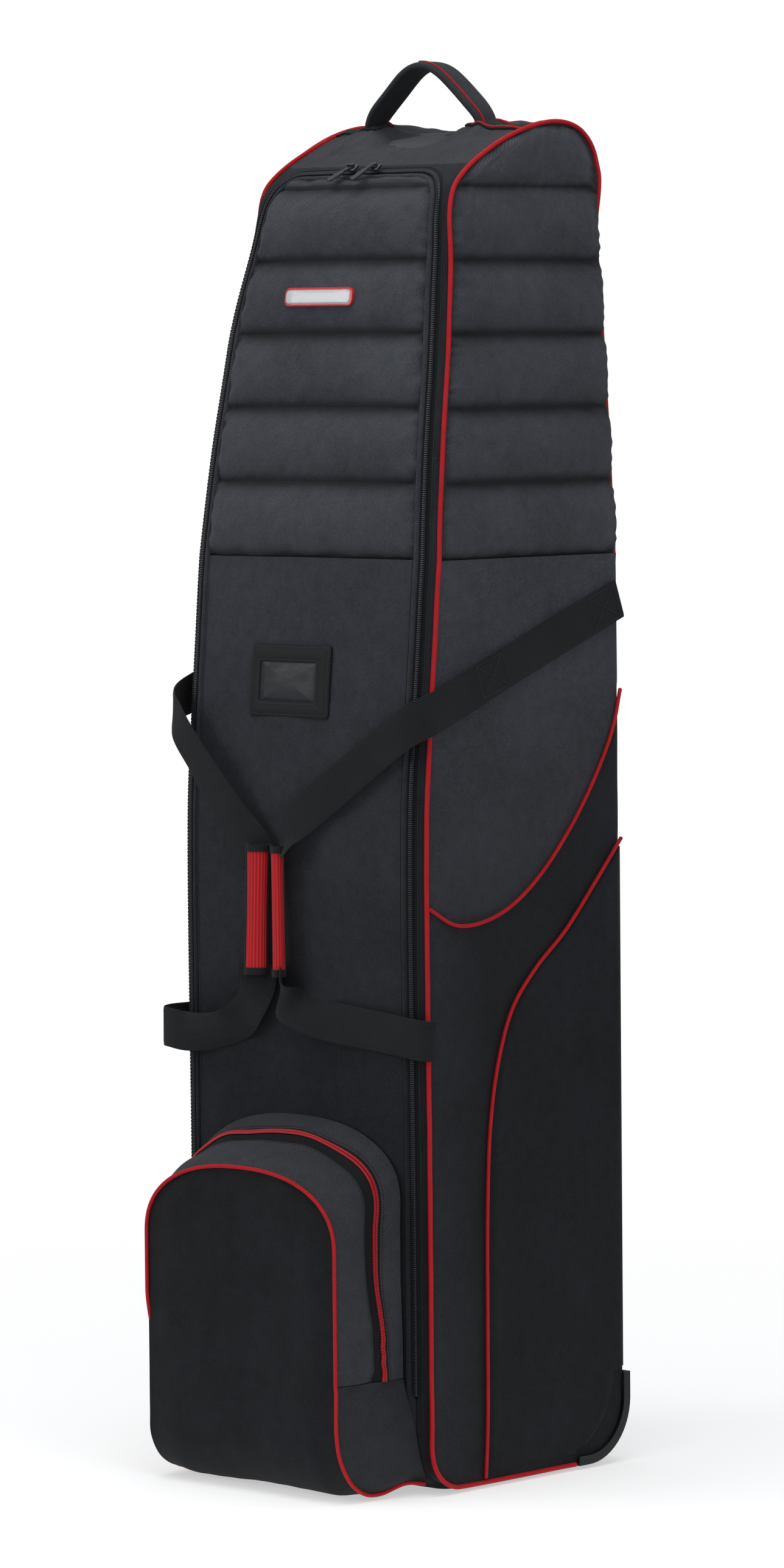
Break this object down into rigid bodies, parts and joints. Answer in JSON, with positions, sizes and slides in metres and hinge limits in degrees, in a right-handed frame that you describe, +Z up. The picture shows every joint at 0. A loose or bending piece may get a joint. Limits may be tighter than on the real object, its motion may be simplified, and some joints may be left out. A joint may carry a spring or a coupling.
{
  "type": "golf travel case",
  "caption": "Tall soft travel case for golf clubs, with a padded head end, zipped front door and pocket, wrap-round carry straps, top handle and recessed wheels.",
  "frame": {"origin": "on the floor, under the middle of the case body, on the face of the base skid", "axes": "+Z up, +X to the right of a person facing the front, front faces -Y"},
  "size_m": [0.3406, 0.3826, 1.3535],
  "materials": {
    "fabric_plain": "tight melange polyester weave",
    "fabric_dobby": "fine dobby weave",
    "fabric_quilted": "ribbed fabric over foam, stitched in bands",
    "piping_red": "woven cord covering",
    "webbing_black": "ribbed webbing",
    "zip_black": "nylon coil and woven tape",
    "zip_red": "nylon coil",
    "grip_red": "ribbed padded fabric",
    "plastic_black": "fine moulded grain",
    "tyre_black": "matt urethane",
    "steel": "turned pin",
    "metal_dark": "gunmetal plating",
    "window_clear": "clear vinyl sheet",
    "badge_red": "moulded rubber badge without lettering"
  },
  "bodies": {
    "shell": {"side_panel_right": "fabric_dobby", "side_panel_left": "fabric_dobby", "side_pad_right": "fabric_quilted", "side_pad_left": "fabric_quilted", "back_panel": "fabric_plain", "bottom_panel": "fabric_plain", "zip_gusset": "fabric_plain", "back_pad": "fabric_quilted", "top_panel": "fabric_quilted", "base_board": "plastic_black", "buckle_socket": "plastic_black", "zip_coil": "zip_black", "side_piping_right": "piping_red", "side_piping_left": "piping_red", "lower_swoosh_piping_right": "piping_red", "lower_swoosh_piping_left": "piping_red", "upper_swoosh_piping_right": "piping_red", "upper_swoosh_piping_left": "piping_red", "wing_panel_right": "fabric_plain", "wing_panel_left": "fabric_plain", "strap_anchor_right": "webbing_black", "strap_anchor_left": "webbing_black", "handle_base_strap": "webbing_black", "cinch_strap": "webbing_black", "wheel_housing_right": "plastic_black", "wheel_housing_left": "plastic_black", "base_skid": "plastic_black", "axle_right": "steel", "axle_left": "steel"},
    "door": {"door_panel": "fabric_plain", "door_pad": "fabric_quilted", "zip_tape_door": "zip_black", "id_frame": "plastic_black", "id_window": "window_clear", "badge": "badge_red", "pocket_back_gusset": "fabric_dobby", "pocket_lower": "fabric_plain", "pocket_zip_coil": "zip_red", "pocket_piping_lower": "piping_red"},
    "pocket_flap": {"pocket_flap": "fabric_plain", "pocket_piping_flap": "piping_red"},
    "pocket_slider": {"pocket_slider": "metal_dark"},
    "pocket_pull": {"pocket_pull": "metal_dark"},
    "zip_slider_left": {"zip_slider_left": "metal_dark"},
    "zip_slider_right": {"zip_slider_right": "metal_dark"},
    "zip_pull_left": {"zip_pull_left": "metal_dark"},
    "zip_pull_right": {"zip_pull_right": "metal_dark"},
    "handle": {"handle_grip": "fabric_plain"},
    "strap_left": {"strap_upper_left": "webbing_black", "strap_lower_left": "webbing_black", "grip_left": "grip_red"},
    "strap_right": {"strap_upper_right": "webbing_black", "strap_lower_right": "webbing_black", "grip_right": "grip_red"},
    "wheel_left": {"tyre_left": "tyre_black", "hub_left": "plastic_black"},
    "wheel_right": {"tyre_right": "tyre_black", "hub_right": "plastic_black"},
    "buckle": {"buckle_tongue": "plastic_black"}
  },
  "joints": [
    {"name": "door_hinge", "type": "hinge", "parent": "shell", "child": "door", "pos_m": [0, -0.1, 0.007], "axis": [1, 0, 0], "range_deg": [0, 85], "deforming": ["strap_upper_left", "strap_lower_left", "grip_left", "strap_upper_right", "strap_lower_right", "grip_right"]},
    {"name": "pocket_flap_hinge", "type": "hinge", "parent": "door", "child": "pocket_flap", "pos_m": [0, -0.2362, 0.112], "axis": [1, 0, 0], "range_deg": [0, 75]},
    {"name": "pocket_slider_slide", "type": "slide", "parent": "door", "child": "pocket_slider", "axis": [0, 0, 1], "range_m": [0, 0.1]},
    {"name": "pocket_pull_hinge", "type": "hinge", "parent": "pocket_slider", "child": "pocket_pull", "pos_m": [-0.13618, -0.1746, 0.124], "axis": [1, 0, 0], "range_deg": [-80, 80]},
    {"name": "zip_slider_left_slide", "type": "slide", "parent": "shell", "child": "zip_slider_left", "axis": [-1, 0, 0], "range_m": [0, 0.06]},
    {"name": "zip_slider_right_slide", "type": "slide", "parent": "shell", "child": "zip_slider_right", "axis": [1, 0, 0], "range_m": [0, 0.05]},
    {"name": "zip_pull_left_hinge", "type": "hinge", "parent": "zip_slider_left", "child": "zip_pull_left", "pos_m": [-0.01, -0.05209, 1.25293], "axis": [0, -0.5748, 0.8183], "range_deg": [-80, 80]},
    {"name": "zip_pull_right_hinge", "type": "hinge", "parent": "zip_slider_right", "child": "zip_pull_right", "pos_m": [0.02, -0.05209, 1.25293], "axis": [0, -0.5748, 0.8183], "range_deg": [-80, 80]},
    {"name": "handle_hinge", "type": "hinge", "parent": "shell", "child": "handle", "pos_m": [0, 0.046, 1.296], "axis": [1, 0, 0], "range_deg": [-45, 45]},
    {"name": "strap_left_hinge", "type": "hinge", "parent": "shell", "child": "strap_left", "pos_m": [-0.161, -0.1516, 0.58], "axis": [0, 0, -1], "range_deg": [0, 90]},
    {"name": "strap_right_hinge", "type": "hinge", "parent": "shell", "child": "strap_right", "pos_m": [0.161, -0.1516, 0.58], "axis": [0, 0, 1], "range_deg": [0, 90]},
    {"name": "wheel_left_spin", "type": "hinge", "parent": "shell", "child": "wheel_left", "pos_m": [-0.135, 0.113, 0.034], "axis": [1, 0, 0], "continuous": true},
    {"name": "wheel_right_spin", "type": "hinge", "parent": "shell", "child": "wheel_right", "pos_m": [0.135, 0.113, 0.034], "axis": [1, 0, 0], "continuous": true},
    {"name": "buckle_slide", "type": "slide", "parent": "shell", "child": "buckle", "axis": [1, 0, 0], "range_m": [0, 0.04]}
  ]
}
